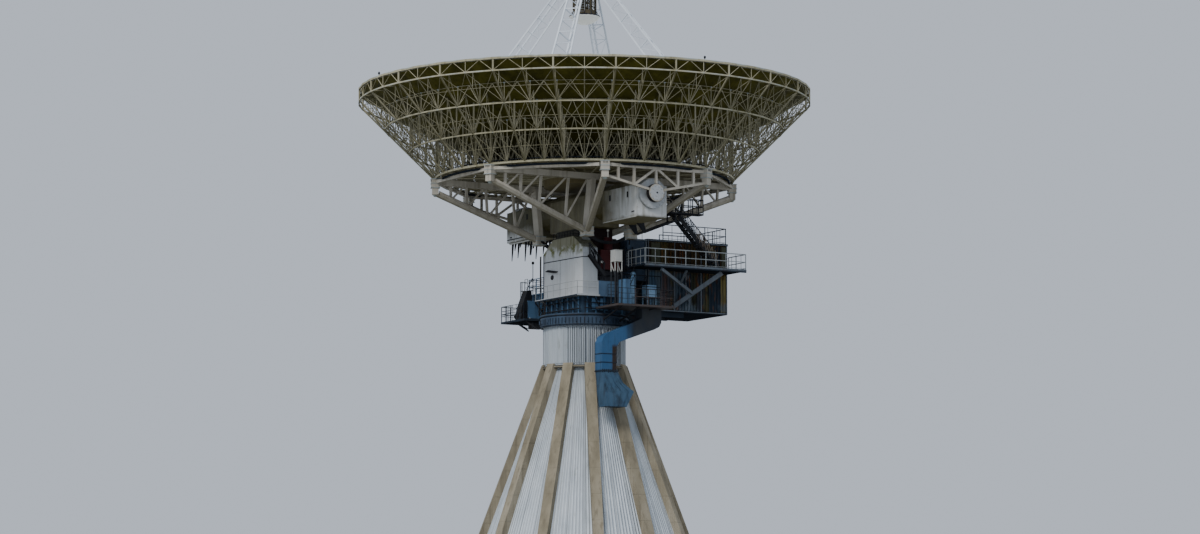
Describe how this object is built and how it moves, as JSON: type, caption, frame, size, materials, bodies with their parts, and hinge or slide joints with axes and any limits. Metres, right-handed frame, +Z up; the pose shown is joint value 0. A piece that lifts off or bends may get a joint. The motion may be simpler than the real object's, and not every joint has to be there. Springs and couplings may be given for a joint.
{
  "type": "radio telescope dish, 1:2 scale model",
  "caption": "Steerable dish antenna on a ribbed conical tower, with a turning head, crossbeam, equipment cabin and lattice-backed reflector.",
  "frame": {"origin": "ground level at the centre of the tower's foot", "axes": "+Z up along the tower and the azimuth axis, +Y along the level elevation axis, +X towards the equipment cabin"},
  "size_m": [16.06, 16.06, 24.9],
  "materials": {
    "concrete": "rough weathered concrete",
    "cladding": "pale fluted sheet, matt",
    "white": "off-white paint, matt, moss stains",
    "lattice": "grey-white paint with olive stains",
    "surface": "matt white panels",
    "blue": "blue paint, semi-matt",
    "slate": "dark blue-grey paint, matt",
    "rust": "weathered brown sheet, matt",
    "red": "dark red paint, matt",
    "dark": "near-black steel, matt"
  },
  "bodies": {
    "tower": {"tower_wall": "cladding", "tower_ribs": "concrete", "tower_neck": "cladding", "tower_door": "slate", "tower_floor": "concrete", "bearing_race": "dark"},
    "alidade": {"alidade_deck": "white", "pedestal": "white", "crossbeam": "white", "bearing_housing_front": "white", "bearing_housing_rear": "white", "balcony_railing": "white", "instrument_cabinet": "white", "turntable": "blue", "alidade_base": "blue", "service_tank": "blue", "drive_box": "blue", "cable_duct": "blue", "duct_skirt": "blue", "cabin_beams": "slate", "cabin_annex": "slate", "cabin_floor": "slate", "cabin_door": "slate", "cabin_roof": "slate", "roof_railing": "slate", "balcony_floor": "slate", "balcony_braces": "slate", "service_platform": "slate", "rear_platform": "slate", "cabin_walls": "rust", "elevation_drive_front": "red", "elevation_drive_rear": "red", "upper_platform": "dark", "access_stair": "dark", "pedestal_stair": "dark", "azimuth_drive": "dark"},
    "reflector": {"side_truss_front": "lattice", "side_truss_rear": "lattice", "end_frame_left": "lattice", "end_frame_right": "lattice", "main_girder_front": "lattice", "main_girder_rear": "lattice", "gear_sector_front": "dark", "gear_sector_rear": "dark", "focus_cabin": "white", "feed_horn": "white", "backup_truss_1": "lattice", "backup_truss_2": "lattice", "backup_truss_3": "lattice", "backup_truss_4": "lattice", "reflector_surface_1": "surface", "reflector_surface_2": "surface", "reflector_surface_3": "surface", "reflector_surface_4": "surface", "feed_leg_1": "white", "feed_leg_2": "white", "feed_leg_3": "white", "feed_leg_4": "white", "subreflector": "white", "apex_cage": "dark"}
  },
  "joints": [
    {"name": "azimuth", "type": "hinge", "parent": "tower", "child": "alidade", "pos_m": [0, 0, 12.4], "axis": [0, 0, 1], "range_deg": [-270, 270]},
    {"name": "elevation", "type": "hinge", "parent": "alidade", "child": "reflector", "pos_m": [0, 0, 16.6], "axis": [0, -1, 0], "range_deg": [0, 80]}
  ]
}
